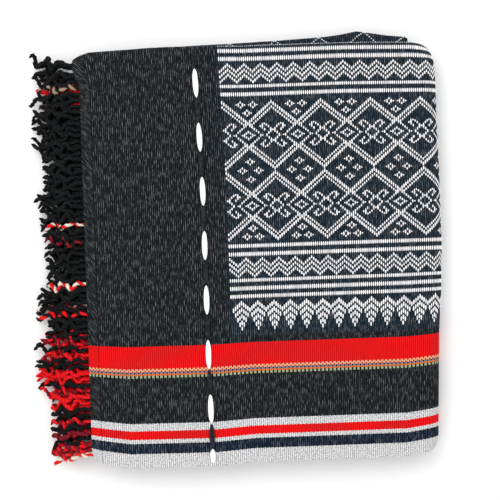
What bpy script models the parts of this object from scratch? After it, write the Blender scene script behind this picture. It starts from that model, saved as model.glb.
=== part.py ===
# A handwoven blanket folded twice into a flat packet: one cloth, a woven heading with its
# fringe at each end of the warp, and a line of thick yarn floats across the top face.
# Metres, +Z up. The warp runs along X, the weft along Y, and the packet rests on z = 0.

import math

import bmesh
import bpy

MM = 0.001

# The cloth and how closely its layers lie
CLOTH_THICK = 1.3 * MM
LAYER_PITCH = 1.6 * MM  # between the three layers folded across the weft
BUNDLE_PITCH = 5.0 * MM  # between the six bundles folded along the warp
PIECE_GAP = 0.3 * MM

# The packet seen from above, before its edges are eased
EDGE_X = 160.8 * MM
EDGE_Y = 187.6 * MM
INNER_EDGE_Y = 186.6 * MM  # the hidden fold at the bottom edge stays inside the selvedge
LAST_SELVEDGE_Y = 174.0 * MM  # where the folded-in selvedge ends, under the top fold

# The folds along the warp, in order: how far the outer face reaches, and the two levels joined
TURNS = (
    {"reach": 160.8 * MM, "level": 5, "next_level": 0},
    {"reach": -158.0 * MM, "level": 0, "next_level": 3},
    {"reach": 138.0 * MM, "level": 3, "next_level": 2},
    {"reach": -152.0 * MM, "level": 2, "next_level": 1},
    {"reach": 154.5 * MM, "level": 1, "next_level": 4},
)
INNER_RUNS = (2, 3)  # these two runs stand out past the top edge
UPPER_END_X = -160.5 * MM  # outer edge of the heading on the top level
LOWER_END_X = -158.5 * MM  # outer edge of the heading one level down
HEADING_WIDTH = 9.2 * MM

# How finely the folds are cut
LAYER_BEND_STEPS = {"outer": 4, "inner": 3}
TURN_STEPS = {5: 8, 3: 6, 1: 4}  # by the number of levels that a turn spans
SECTION_Y = tuple(y * MM for y in (-183, -174, -60, 60, 165, 176))
STATION_CLEARANCE = 1.5 * MM  # a station this near a bend is left out

# The packet's uneven height, added at the top and fading to nothing at the base
LOFT_X = (
    {"x": -161 * MM, "rise": -2.2 * MM},
    {"x": -140 * MM, "rise": -0.3 * MM},
    {"x": -75 * MM, "rise": 0.9 * MM},
    {"x": -10 * MM, "rise": 0.2 * MM},
    {"x": 60 * MM, "rise": 0.9 * MM},
    {"x": 120 * MM, "rise": 0.4 * MM},
    {"x": 161 * MM, "rise": -0.6 * MM},
)
LOFT_Y = (
    {"y": -188 * MM, "rise": -0.8 * MM},
    {"y": -174 * MM, "rise": 0.0},
    {"y": -60 * MM, "rise": 0.6 * MM},
    {"y": 60 * MM, "rise": 0.1 * MM},
    {"y": 165 * MM, "rise": 0.2 * MM},
    {"y": 188 * MM, "rise": -0.8 * MM},
)

# How far the two inner runs stand out past the top edge
PEEK = (
    {"x": -140 * MM, "out": 0.0},
    {"x": -75 * MM, "out": 0.5 * MM},
    {"x": -10 * MM, "out": 3.9 * MM},
    {"x": 60 * MM, "out": 6.9 * MM},
    {"x": 76 * MM, "out": 8.4 * MM},
    {"x": 92 * MM, "out": 11.6 * MM},
    {"x": 120 * MM, "out": 7.4 * MM},
    {"x": 140 * MM, "out": 5.9 * MM},
)

# Where each edge of the packet leaves the straight line, outward positive
RIGHT_EDGE = (
    {"y": -188 * MM, "out": -8.0 * MM},
    {"y": -165 * MM, "out": -7.2 * MM},
    {"y": -78 * MM, "out": -3.7 * MM},
    {"y": -42 * MM, "out": -0.6 * MM},
    {"y": 3 * MM, "out": 1.4 * MM},
    {"y": 60 * MM, "out": 1.4 * MM},
    {"y": 188 * MM, "out": 0.3 * MM},
)
LEFT_EDGE_POWER = 8  # only the last few centimetres follow the left edge
LEFT_EDGE = (
    {"y": 158 * MM, "out": 0.0},
    {"y": 177 * MM, "out": 6.5 * MM},
)
TOP_EDGE = (
    {"x": -169 * MM, "out": -9.4 * MM},
    {"x": -159 * MM, "out": -4.5 * MM},
    {"x": -148 * MM, "out": -0.6 * MM},
    {"x": -100 * MM, "out": 1.4 * MM},
    {"x": -66 * MM, "out": 1.8 * MM},
    {"x": -12 * MM, "out": 0.0},
    {"x": 78 * MM, "out": 0.0},
    {"x": 161 * MM, "out": -2.2 * MM},
)
BOTTOM_EDGE = (
    {"x": -161 * MM, "out": -4.5 * MM},
    {"x": -150 * MM, "out": -2.2 * MM},
    {"x": -125 * MM, "out": 2.0 * MM},
    {"x": -48 * MM, "out": 2.7 * MM},
    {"x": -12 * MM, "out": 0.0},
    {"x": 130 * MM, "out": -0.3 * MM},
    {"x": 161 * MM, "out": -5.0 * MM},
)

# Eased corners: the side of the packet each is on, and how far the easing reaches
CORNERS = (
    {"side_x": -1, "side_y": 1, "reach_x": 8 * MM, "reach_y": 8 * MM},
    {"side_x": 1, "side_y": 1, "reach_x": 25 * MM, "reach_y": 25 * MM},
    {"side_x": 1, "side_y": -1, "reach_x": 13 * MM, "reach_y": 12 * MM},
    {"side_x": -1, "side_y": -1, "reach_x": 12 * MM, "reach_y": 16 * MM},
)
CORNER_EASE = 0.7  # 1 would be a full round, which pinches the layers together

# Fringe strands
STRAND_PITCH = 11.0 * MM
STRAND_ROOT_WIDTH = 3.0 * MM
STRAND_RADIUS = 2.1 * MM
ROOT_MARGIN = 3.0 * MM  # kept free beside the selvedges and the bends
LAYER_PHASES = {"upper": (0.0, 0.17, 0.5), "lower": (0.83, 0.67, 0.33)}
LAYER_REACH = {"upper": (1.0, 0.92, 0.96), "lower": (0.88, 0.97, 0.9)}
REACH_SPREAD = 0.22
GOLDEN = 0.618034  # spreads the strands' lengths evenly without a repeat
CLUMP_PITCH = 41.0 * MM  # neighbouring strands lean together in clumps
CLUMP_LEAN = 1.1 * MM

# The way down of the lowest and the highest rank: distance out, and height or drop
FALL = (
    {"low_out": 5.0 * MM, "low_z": None, "high_out": 6.0 * MM, "high_z": None, "size": 0.62},
    {"low_out": 12.0 * MM, "low_z": 13.5 * MM, "high_out": 18.0 * MM, "high_z": 21.5 * MM,
     "size": 1.0},
    {"low_out": 18.0 * MM, "low_z": 5.5 * MM, "high_out": 26.0 * MM, "high_z": 13.2 * MM,
     "size": 1.0},
    {"low_out": 26.0 * MM, "low_z": 1.2 * MM, "high_out": 34.0 * MM, "high_z": 9.0 * MM,
     "size": 1.0},
    {"low_out": None, "low_z": 1.2 * MM, "high_out": None, "high_z": 8.9 * MM, "size": 0.8},
)
FIRST_DROP = 0.5 * MM
TIP_AFTER_LANDING = 4.0 * MM
LAYER_RANKS = {"upper": (1.0, 0.5, 1.0), "lower": (0.0, 0.5, 0.0)}
SWEEP_AT = 50.0 * MM  # the distance out at which a zone's sweep is stated
SWEEP_POWER = 1.3

# How far the strands reach from the heading, and how far they sweep towards +Y
FRINGE_ZONES = (
    {"y": -188 * MM, "reach": 38 * MM, "sweep": -13 * MM},
    {"y": -160 * MM, "reach": 34 * MM, "sweep": -9 * MM},
    {"y": -138 * MM, "reach": 36 * MM, "sweep": -5 * MM},
    {"y": -120 * MM, "reach": 50 * MM, "sweep": -2 * MM},
    {"y": -97 * MM, "reach": 58 * MM, "sweep": 0.0},
    {"y": -75 * MM, "reach": 52 * MM, "sweep": 2 * MM},
    {"y": -57 * MM, "reach": 38 * MM, "sweep": 0.0},
    {"y": -43 * MM, "reach": 57 * MM, "sweep": -2 * MM},
    {"y": -24 * MM, "reach": 44 * MM, "sweep": -4 * MM},
    {"y": -5 * MM, "reach": 38 * MM, "sweep": -3 * MM},
    {"y": 12 * MM, "reach": 42 * MM, "sweep": 3 * MM},
    {"y": 34 * MM, "reach": 46 * MM, "sweep": 0.0},
    {"y": 50 * MM, "reach": 50 * MM, "sweep": 2 * MM},
    {"y": 70 * MM, "reach": 40 * MM, "sweep": 2 * MM},
    {"y": 88 * MM, "reach": 36 * MM, "sweep": 0.0},
    {"y": 105 * MM, "reach": 50 * MM, "sweep": -1 * MM},
    {"y": 125 * MM, "reach": 52 * MM, "sweep": 0.0},
    {"y": 145 * MM, "reach": 50 * MM, "sweep": 2 * MM},
    {"y": 165 * MM, "reach": 44 * MM, "sweep": 7 * MM},
    {"y": 188 * MM, "reach": 36 * MM, "sweep": 12 * MM},
)

# The thick yarn that shows as white and black floats in turn
FLOAT_REPEAT = 48.4 * MM
FLOAT_TOP_WHITE_Y = 154.0 * MM  # middle of the white float nearest the top edge
FLOAT_COUNT = 8
FLOAT_LINE = (
    {"y": -188 * MM, "x": -51.4 * MM},
    {"y": -90 * MM, "x": -52.4 * MM},
    {"y": 55 * MM, "x": -52.4 * MM},
    {"y": 107 * MM, "x": -53.8 * MM},
    {"y": 188 * MM, "x": -57.0 * MM},
)
WHITE_FLOAT = {"length": 26.0 * MM, "width": 5.2 * MM, "height": 2.6 * MM}
BLACK_FLOAT = {"length": 21.0 * MM, "width": 4.2 * MM, "height": 2.0 * MM}
FLOAT_SIDES = 6
FLOAT_TIP_RISE = 0.2  # a float's pointed ends, as a share of its height
FLOAT_RINGS = (
    {"along": 0.04, "fullness": 0.45},
    {"along": 0.14, "fullness": 0.82},
    {"along": 0.34, "fullness": 1.0},
    {"along": 0.66, "fullness": 1.0},
    {"along": 0.86, "fullness": 0.82},
    {"along": 0.96, "fullness": 0.45},
)
FLOAT_EDGE_MARGIN = 3.0 * MM

MATERIALS = {
    "cloth": {"colour": (0.022, 0.026, 0.030), "roughness": 0.85},
    "upper_fringe": {"colour": (0.30, 0.012, 0.014), "roughness": 0.8},
    "lower_fringe": {"colour": (0.010, 0.011, 0.012), "roughness": 0.8},
    "white_yarn": {"colour": (0.86, 0.84, 0.83), "roughness": 0.7},
    "black_yarn": {"colour": (0.018, 0.020, 0.022), "roughness": 0.7},
}

BUNDLE_HALF = LAYER_PITCH + CLOTH_THICK / 2
TOP_LEVEL = 5
STACK_HEIGHT = 2 * BUNDLE_HALF + TOP_LEVEL * BUNDLE_PITCH


# Reading the tables

def read(rows, key, value, at):
    """The value at a place, straight between the table's rows and level past its ends."""
    if at <= rows[0][key]:
        return rows[0][value]
    for low, high in zip(rows, rows[1:]):
        if at <= high[key]:
            share = (at - low[key]) / (high[key] - low[key])
            return low[value] + share * (high[value] - low[value])
    return rows[-1][value]


def places(first, last, between):
    """The stations of a straight stretch: its start, then those between that clear both ends."""
    low = min(first, last) + STATION_CLEARANCE
    high = max(first, last) - STATION_CLEARANCE
    kept = sorted(x for x in between if low < x < high)
    return [first] + (kept if last > first else kept[::-1])


# The fold across the weft: three layers, read by the distance from the first selvedge

BEND_TOP_Y = EDGE_Y - BUNDLE_HALF
INNER_BEND_RADIUS = LAYER_PITCH / 2
BEND_BOTTOM_Y = -INNER_EDGE_Y + INNER_BEND_RADIUS + CLOTH_THICK / 2
FACE_RUN = BEND_TOP_Y + EDGE_Y
OUTER_BEND = math.pi * LAYER_PITCH
BACK_RUN = BEND_TOP_Y - BEND_BOTTOM_Y
INNER_BEND = math.pi * INNER_BEND_RADIUS
LAST_RUN = LAST_SELVEDGE_Y - BEND_BOTTOM_Y
BACK_START = FACE_RUN + OUTER_BEND
LAST_START = BACK_START + BACK_RUN + INNER_BEND
CLOTH_WIDTH = LAST_START + LAST_RUN


def across(v):
    """Centre of the cloth and its face direction in the plane of the weft fold."""
    if v <= FACE_RUN:
        return -EDGE_Y + v, LAYER_PITCH, 0.0, 1.0
    if v < BACK_START:
        turned = (v - FACE_RUN) / LAYER_PITCH
        ny, nz = math.sin(turned), math.cos(turned)
        return BEND_TOP_Y + LAYER_PITCH * ny, LAYER_PITCH * nz, ny, nz
    if v <= BACK_START + BACK_RUN:
        return BEND_TOP_Y - (v - BACK_START), -LAYER_PITCH, 0.0, -1.0
    if v < LAST_START:
        turned = (v - BACK_START - BACK_RUN) / INNER_BEND_RADIUS
        ny, nz = -math.sin(turned), -math.cos(turned)
        return (BEND_BOTTOM_Y + INNER_BEND_RADIUS * ny,
                -INNER_BEND_RADIUS + INNER_BEND_RADIUS * nz, ny, nz)
    return BEND_BOTTOM_Y + (v - LAST_START), 0.0, 0.0, 1.0


def weft_stations():
    """The places along the weft where the cloth's surface has points."""
    stations = [y + EDGE_Y for y in places(-EDGE_Y, BEND_TOP_Y, SECTION_Y)]
    steps = LAYER_BEND_STEPS["outer"]
    stations += [FACE_RUN + OUTER_BEND * i / steps for i in range(steps)]
    back = places(BEND_TOP_Y, BEND_BOTTOM_Y, SECTION_Y)
    stations += [BACK_START + BEND_TOP_Y - y for y in back]
    steps = LAYER_BEND_STEPS["inner"]
    stations += [BACK_START + BACK_RUN + INNER_BEND * i / steps for i in range(steps)]
    last = places(BEND_BOTTOM_Y, LAST_SELVEDGE_Y, SECTION_Y)
    return stations + [LAST_START + y - BEND_BOTTOM_Y for y in last] + [CLOTH_WIDTH]


# The fold along the warp: straight runs and turns, read by the distance from the top end

def level_height(level):
    return BUNDLE_HALF + level * BUNDLE_PITCH


def warp_path():
    """The runs and turns in order, each with the distance at which it starts."""
    pieces = []
    start_x = UPPER_END_X + HEADING_WIDTH
    done = 0.0
    for turn in TURNS:
        low, high = sorted((turn["level"], turn["next_level"]))
        radius = (high - low) * BUNDLE_PITCH / 2
        side = 1 if turn["reach"] > 0 else -1
        centre_x = turn["reach"] - side * (radius + BUNDLE_HALF)
        run = {"kind": "run", "start": done, "from_x": start_x, "to_x": centre_x,
               "length": abs(centre_x - start_x), "level": turn["level"]}
        done += run["length"]
        bend = {"kind": "turn", "start": done, "length": math.pi * radius, "radius": radius,
                "centre_x": centre_x, "centre_z": level_height((low + high) / 2), "side": side,
                "downward": turn["next_level"] < turn["level"], "span": high - low}
        done += bend["length"]
        pieces += [run, bend]
        start_x = centre_x
    end_x = LOWER_END_X + HEADING_WIDTH
    pieces.append({"kind": "run", "start": done, "from_x": start_x, "to_x": end_x,
                   "length": abs(end_x - start_x), "level": TURNS[-1]["next_level"]})
    return pieces


WARP = warp_path()
CLOTH_LENGTH = WARP[-1]["start"] + WARP[-1]["length"]


def along(u):
    """Centre of a bundle, its face direction, and which run or turn it is on."""
    place = max((i for i, piece in enumerate(WARP) if u >= piece["start"]), default=0)
    piece = WARP[place]
    past = u - piece["start"]
    if piece["kind"] == "run":
        way = 1 if piece["to_x"] > piece["from_x"] else -1
        return piece["from_x"] + way * past, level_height(piece["level"]), 0.0, float(way), place
    turned = past / piece["radius"]
    rising = 1 if piece["downward"] else -1
    out_x = piece["side"] * math.sin(turned)
    out_z = rising * math.cos(turned)
    # Turns taken clockwise, seen from the bottom edge, keep the face outside
    face = 1 if piece["side"] * rising > 0 else -1
    return (piece["centre_x"] + piece["radius"] * out_x, piece["centre_z"] + piece["radius"] * out_z,
            face * out_x, face * out_z, place)


def warp_stations():
    """The places along the warp where the cloth's surface has points."""
    stations = []
    for place, piece in enumerate(WARP):
        if piece["kind"] == "run":
            rows = PEEK if place // 2 in INNER_RUNS else LOFT_X
            between = {row["x"] for row in rows}
            for x in places(piece["from_x"], piece["to_x"], between):
                stations.append(piece["start"] + abs(x - piece["from_x"]))
        else:
            steps = TURN_STEPS[piece["span"]]
            stations += [piece["start"] + piece["length"] * i / steps for i in range(steps)]
    return stations + [CLOTH_LENGTH]


# From the ideal stack to the packet as it lies

def eased_corner(x, y):
    """How far the nearest corner's easing moves a place in plan."""
    dx = dy = 0.0
    for corner in CORNERS:
        in_x = 1 - (EDGE_X - corner["side_x"] * x) / corner["reach_x"]
        in_y = 1 - (EDGE_Y - corner["side_y"] * y) / corner["reach_y"]
        if in_x > 0 and in_y > 0:
            in_x, in_y = min(in_x, 1.0), min(in_y, 1.0)
            moved_x = CORNER_EASE * in_x * (math.sqrt(1 - in_y * in_y / 2) - 1)
            moved_y = CORNER_EASE * in_y * (math.sqrt(1 - in_x * in_x / 2) - 1)
            dx += corner["side_x"] * moved_x * corner["reach_x"]
            dy += corner["side_y"] * moved_y * corner["reach_y"]
    return dx, dy


def settled(x, y, z):
    """A place in the ideal stack, moved to where the uneven packet holds it."""
    rise = read(LOFT_X, "x", "rise", x) + read(LOFT_Y, "y", "rise", y)
    dx, dy = eased_corner(x, y)
    share_x = min(abs(x) / EDGE_X, 1.0)
    share_y = min(abs(y) / EDGE_Y, 1.0)
    if x > 0:
        dx += share_x * read(RIGHT_EDGE, "y", "out", y)
    else:
        dx -= share_x ** LEFT_EDGE_POWER * read(LEFT_EDGE, "y", "out", y)
    if y > 0:
        dy += share_y * read(TOP_EDGE, "x", "out", x)
    else:
        dy -= share_y * read(BOTTOM_EDGE, "x", "out", x)
    return x + dx, y + dy, z * (1 + rise / STACK_HEIGHT)


def cloth_point(u, v, side):
    """A point of the folded cloth: side +1 is the face, -1 the back, 0 the middle."""
    y, lift, ny, nz = across(v)
    y += side * CLOTH_THICK / 2 * ny
    lift += side * CLOTH_THICK / 2 * nz
    x, z, face_x, face_z, place = along(u)
    first = 2 * INNER_RUNS[0]
    last = 2 * INNER_RUNS[-1]
    if first <= place <= last:
        y += read(PEEK, "x", "out", x)
    return settled(x + lift * face_x, y, z + lift * face_z)


# Turning points into objects

def material(name):
    finish = MATERIALS[name]
    made = bpy.data.materials.new(name)
    made.use_nodes = True
    shader = made.node_tree.nodes["Principled BSDF"]
    shader.inputs["Base Color"].default_value = (*finish["colour"], 1.0)
    shader.inputs["Roughness"].default_value = finish["roughness"]
    shader.inputs["Metallic"].default_value = 0.0
    return made


def solid(name, points, faces, finish):
    """One closed body from points and faces, its faces turned outward."""
    mesh = bpy.data.meshes.new(name)
    mesh.from_pydata(points, [], faces)
    shape = bmesh.new()
    shape.from_mesh(mesh)
    bmesh.ops.recalc_face_normals(shape, faces=shape.faces)
    shape.to_mesh(mesh)
    shape.free()
    mesh.materials.append(finish)
    made = bpy.data.objects.new(name, mesh)
    bpy.context.scene.collection.objects.link(made)
    return made


def build_cloth(finish):
    """The cloth: its face and back at every crossing of the warp and weft stations."""
    weft = weft_stations()
    loop = [(v, 1) for v in weft] + [(v, -1) for v in reversed(weft)]
    count = len(loop)
    warp = warp_stations()
    points = [cloth_point(u, v, side) for u in warp for v, side in loop]
    faces = []
    for row in range(len(warp) - 1):
        for i in range(count):
            j = (i + 1) % count
            faces.append((row * count + i, row * count + j,
                          (row + 1) * count + j, (row + 1) * count + i))
    for row in (0, len(warp) - 1):
        for i in range(len(weft) - 1):
            j = count - 1 - i
            faces.append((row * count + i, row * count + i + 1,
                          row * count + j - 1, row * count + j))
    return solid("cloth", points, faces, finish)


# Fringe

def strand_places(phases):
    """The middle of each strand's root along the weft, and its layer, in weft order."""
    found = []
    first_y = BEND_BOTTOM_Y + ROOT_MARGIN
    last_y = BEND_TOP_Y - ROOT_MARGIN
    for layer, phase in enumerate(phases):
        y = first_y + phase * STRAND_PITCH
        while y < last_y:
            if layer == 0:
                found.append((y + EDGE_Y, 0))
            elif layer == 1:
                found.append((BACK_START + BEND_TOP_Y - y, 1))
            elif y < LAST_SELVEDGE_Y - ROOT_MARGIN:
                found.append((LAST_START + y - BEND_BOTTOM_Y, 2))
            y += STRAND_PITCH
    return sorted(found)


def strand_rings(root, rank, reach_share):
    """The strand's ring middles and sizes from its root to its tip."""
    root_x, root_y, root_z = root
    reach = read(FRINGE_ZONES, "y", "reach", root_y) * reach_share
    sweep = read(FRINGE_ZONES, "y", "sweep", root_y)
    sweep += CLUMP_LEAN * math.sin(math.tau * root_y / CLUMP_PITCH)
    rings = []
    landing = 0.0
    for row in FALL:
        if row["low_out"] is None:
            out = max(reach, landing + TIP_AFTER_LANDING)
        else:
            out = row["low_out"] + rank * (row["high_out"] - row["low_out"])
            landing = out
        if row["low_z"] is None:
            z = root_z - FIRST_DROP
        else:
            z = row["low_z"] + rank * (row["high_z"] - row["low_z"])
        y = root_y + sweep * (out / SWEEP_AT) ** SWEEP_POWER
        rings.append(((root_x - out, y, z), row["size"] * STRAND_RADIUS))
    return rings


def ring_points(middle, radius, before, after):
    """A three-sided ring across the strand: the ridge, then the two lower corners."""
    run_x = after[0] - before[0]
    run_y = after[1] - before[1]
    run_z = after[2] - before[2]
    flat = math.hypot(run_x, run_y)
    whole = math.hypot(flat, run_z)
    side = (run_y / flat, -run_x / flat, 0.0)
    up = (-run_x * run_z / flat / whole, -run_y * run_z / flat / whole, flat / whole)
    half = radius * math.sqrt(3) / 2
    ridge = tuple(m + radius * n for m, n in zip(middle, up))
    left = tuple(m - radius / 2 * n - half * s for m, n, s in zip(middle, up, side))
    right = tuple(m - radius / 2 * n + half * s for m, n, s in zip(middle, up, side))
    return ridge, left, right


def add_strand(points, faces, root, rings):
    """A strand grown out of the heading's edge from its root's four corners."""
    upper, lower = root["upper"], root["lower"]
    middles = [root["middle"]] + [middle for middle, _ in rings]
    last = None
    for i, (middle, radius) in enumerate(rings, start=1):
        after = middles[min(i + 1, len(middles) - 1)]
        ridge, left, right = ring_points(middle, radius, middles[i - 1], after)
        first = len(points)
        points += [ridge, left, right]
        if last is None:
            # The strand runs to -X, so a ring's left corner is on its -Y side
            a, b = (0, 1) if points[upper[0]][1] < points[upper[1]][1] else (1, 0)
            faces.append((upper[a], upper[b], first))
            faces.append((upper[a], first, first + 1, lower[a]))
            faces.append((upper[b], lower[b], first + 2, first))
            faces.append((lower[a], first + 1, first + 2, lower[b]))
        else:
            for j in range(3):
                k = (j + 1) % 3
                faces.append((last + j, last + k, first + k, first + j))
        last = first
    faces.append((last, last + 1, last + 2))


def zip_rows(coarse, fine, faces):
    """Triangles between two rows of points, each a list of (distance, point number)."""
    i = j = 0
    while i + 1 < len(coarse) or j + 1 < len(fine):
        take_fine = i + 1 == len(coarse)
        if not take_fine and j + 1 < len(fine):
            take_fine = fine[j + 1][0] <= (coarse[i][0] + coarse[i + 1][0]) / 2
        if take_fine:
            faces.append((coarse[i][1], fine[j][1], fine[j + 1][1]))
            j += 1
        else:
            faces.append((coarse[i][1], fine[j][1], coarse[i + 1][1]))
            i += 1


def build_fringe(name, end_u, way, which, finish):
    """The woven heading parted from the cloth's edge, with the strands grown from it."""
    inner_u = end_u + way * PIECE_GAP
    outer_u = end_u + way * HEADING_WIDTH
    weft = weft_stations()
    strands = strand_places(LAYER_PHASES[which])
    half = STRAND_ROOT_WIDTH / 2
    roots = {v - half: layer for v, layer in strands}
    bends = [v for v in weft if FACE_RUN <= v <= BACK_START
             or BACK_START + BACK_RUN <= v <= LAST_START]
    edge = {0.0, CLOTH_WIDTH, *bends}
    for v, _ in strands:
        edge.update((v - half, v + half))
    edge = sorted(edge)

    points, faces = [], []
    count = 0
    rows = {}
    for key, stations, u in (("inner", weft, inner_u), ("outer", edge, outer_u)):
        for side in (1, -1):
            row = []
            for v in stations:
                row.append((v, len(points)))
                points.append(cloth_point(u, v, side))
            rows[key, side] = row
    for side in (1, -1):
        zip_rows(rows["inner", side], rows["outer", side], faces)
    for end in (0, -1):
        faces.append((rows["inner", 1][end][1], rows["outer", 1][end][1],
                      rows["outer", -1][end][1], rows["inner", -1][end][1]))
    for key in ("inner", "outer"):
        face_row, back_row = rows[key, 1], rows[key, -1]
        for i in range(len(face_row) - 1):
            corners = (face_row[i][1], face_row[i + 1][1], back_row[i + 1][1], back_row[i][1])
            layer = roots.get(face_row[i][0]) if key == "outer" else None
            if layer is None:
                faces.append(corners)
                continue
            count += 1
            face_up = points[corners[0]][2] > points[corners[3]][2]
            pairs = (corners[0], corners[1]), (corners[3], corners[2])
            upper, lower = pairs if face_up else pairs[::-1]
            middle = cloth_point(outer_u, face_row[i][0] + half, 0)
            share = LAYER_REACH[which][layer] - REACH_SPREAD * ((count * GOLDEN) % 1.0)
            rings = strand_rings(middle, LAYER_RANKS[which][layer], share)
            add_strand(points, faces, {"upper": upper, "lower": lower, "middle": middle}, rings)
    return solid(name, points, faces, finish)


# The line of thick yarn

def build_float(name, low_y, high_y, size, finish):
    """One float: an oval pad of yarn, pointed at both ends, just above the top face."""
    points, faces = [], []
    base = STACK_HEIGHT + PIECE_GAP
    length = high_y - low_y

    def put(y, side, up):
        points.append(settled(read(FLOAT_LINE, "y", "x", y) + side, y, base + up))

    put(low_y, 0.0, size["height"] * FLOAT_TIP_RISE)
    for ring in FLOAT_RINGS:
        for i in range(FLOAT_SIDES):
            turn = math.tau * i / FLOAT_SIDES
            reach = ring["fullness"]
            side = size["width"] / 2 * reach * math.cos(turn)
            up = size["height"] / 2 * (1 + math.sin(turn)) * reach
            put(low_y + ring["along"] * length, side, up)
    put(high_y, 0.0, size["height"] * FLOAT_TIP_RISE)
    for ring in range(len(FLOAT_RINGS) - 1):
        start = 1 + ring * FLOAT_SIDES
        for i in range(FLOAT_SIDES):
            j = (i + 1) % FLOAT_SIDES
            faces.append((start + i, start + j, start + FLOAT_SIDES + j, start + FLOAT_SIDES + i))
    last = len(points) - 1
    for i in range(FLOAT_SIDES):
        j = (i + 1) % FLOAT_SIDES
        faces.append((0, 1 + j, 1 + i))
        faces.append((last, last - FLOAT_SIDES + i, last - FLOAT_SIDES + j))
    return solid(name, points, faces, finish)


def build_float_line(white, black):
    """White floats at an even repeat, with a black one above each."""
    made = []
    lowest = -EDGE_Y + FLOAT_EDGE_MARGIN
    highest = BEND_TOP_Y - FLOAT_EDGE_MARGIN
    for i in range(FLOAT_COUNT):
        middle = FLOAT_TOP_WHITE_Y - i * FLOAT_REPEAT
        half = WHITE_FLOAT["length"] / 2
        low = max(middle - half, lowest)
        made.append(build_float(f"white_float_{i + 1}", low, middle + half, WHITE_FLOAT, white))
        middle += FLOAT_REPEAT / 2
        half = BLACK_FLOAT["length"] / 2
        high = min(middle + half, highest)
        made.append(build_float(f"black_float_{i + 1}", middle - half, high, BLACK_FLOAT, black))
    return made


def centre_on_base(objects):
    """The origin goes to the middle of the whole part's footprint, on its base."""
    corners = [vertex.co for item in objects for vertex in item.data.vertices]
    middle = [(min(c[i] for c in corners) + max(c[i] for c in corners)) / 2 for i in range(2)]
    for item in objects:
        item.location = (-middle[0], -middle[1], 0.0)


def main():
    for item in list(bpy.data.objects):
        bpy.data.objects.remove(item, do_unlink=True)
    objects = [
        build_cloth(material("cloth")),
        build_fringe("upper_fringe", 0.0, -1, "upper", material("upper_fringe")),
        build_fringe("lower_fringe", CLOTH_LENGTH, 1, "lower", material("lower_fringe")),
    ]
    objects += build_float_line(material("white_yarn"), material("black_yarn"))
    centre_on_base(objects)


main()
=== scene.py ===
# A handwoven blanket, folded flat: ribbed black cloth with striped borders, white brocade,
# a line of thick yarn across it and plied fringe cords. Metres, +Z up, in the part's own frame.

import math
import random

import bmesh
import bpy
import numpy as np
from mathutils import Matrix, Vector


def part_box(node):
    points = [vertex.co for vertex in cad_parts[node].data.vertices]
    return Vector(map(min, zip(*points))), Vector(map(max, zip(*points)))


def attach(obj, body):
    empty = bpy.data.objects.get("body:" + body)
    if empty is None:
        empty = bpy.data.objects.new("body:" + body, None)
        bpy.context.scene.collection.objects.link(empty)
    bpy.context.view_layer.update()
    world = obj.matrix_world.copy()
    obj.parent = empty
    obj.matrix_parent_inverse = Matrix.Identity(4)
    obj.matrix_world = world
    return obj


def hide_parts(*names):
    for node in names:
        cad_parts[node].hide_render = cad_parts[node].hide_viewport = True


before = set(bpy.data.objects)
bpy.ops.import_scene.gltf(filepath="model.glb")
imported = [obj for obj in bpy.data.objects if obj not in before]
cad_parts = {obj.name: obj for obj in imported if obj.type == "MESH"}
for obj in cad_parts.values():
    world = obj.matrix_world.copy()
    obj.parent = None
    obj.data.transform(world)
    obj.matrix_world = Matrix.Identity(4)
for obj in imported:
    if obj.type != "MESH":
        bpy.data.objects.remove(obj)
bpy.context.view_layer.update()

mm = 0.001
tau = math.tau

# The fold, as the solids have it
fold = {
    "clothThick": 1.3 * mm, "layerPitch": 1.6 * mm, "bundlePitch": 5.0 * mm, "gap": 0.3 * mm,
    "edgeX": 160.8 * mm, "edgeY": 187.6 * mm, "innerEdgeY": 186.6 * mm,
    "lastSelvedgeY": 174.0 * mm, "upperEndX": -160.5 * mm, "lowerEndX": -158.5 * mm,
    "heading": 9.2 * mm, "leftEdgePower": 8, "cornerEase": 0.7, "topLevel": 5,
}
turns = (
    {"reach": 160.8 * mm, "level": 5, "nextLevel": 0},
    {"reach": -158.0 * mm, "level": 0, "nextLevel": 3},
    {"reach": 138.0 * mm, "level": 3, "nextLevel": 2},
    {"reach": -152.0 * mm, "level": 2, "nextLevel": 1},
    {"reach": 154.5 * mm, "level": 1, "nextLevel": 4},
)
innerRuns = (2, 3)  # these stand out past the top fold
loftAlong = {"x": (-161, -140, -75, -10, 60, 120, 161), "rise": (-2.2, -0.3, 0.9, 0.2, 0.9, 0.4, -0.6)}
loftAcross = {"y": (-188, -174, -60, 60, 165, 188), "rise": (-0.8, 0.0, 0.6, 0.1, 0.2, -0.8)}
peek = {"x": (-140, -75, -10, 60, 76, 92, 120, 140), "out": (0, 0.5, 3.9, 6.9, 8.4, 11.6, 7.4, 5.9)}
rightEdge = {"y": (-188, -165, -78, -42, 3, 60, 188), "out": (-8.0, -7.2, -3.7, -0.6, 1.4, 1.4, 0.3)}
leftEdge = {"y": (158, 177), "out": (0, 6.5)}
topEdge = {"x": (-169, -159, -148, -100, -66, -12, 78, 161),
           "out": (-9.4, -4.5, -0.6, 1.4, 1.8, 0, 0, -2.2)}
bottomEdge = {"x": (-161, -150, -125, -48, -12, 130, 161),
              "out": (-4.5, -2.2, 2.0, 2.7, 0, -0.3, -5.0)}
corners = (
    {"sideX": -1, "sideY": 1, "reachX": 8 * mm, "reachY": 8 * mm},
    {"sideX": 1, "sideY": 1, "reachX": 25 * mm, "reachY": 25 * mm},
    {"sideX": 1, "sideY": -1, "reachX": 13 * mm, "reachY": 12 * mm},
    {"sideX": -1, "sideY": -1, "reachX": 12 * mm, "reachY": 16 * mm},
)
floatLine = {"y": (-188, -90, 55, 107, 188), "x": (-51.4, -52.4, -52.4, -53.8, -57.0)}
middleFloat = {"node": "white_float_4", "x": -52.4 * mm, "y": 8.8 * mm}
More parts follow.
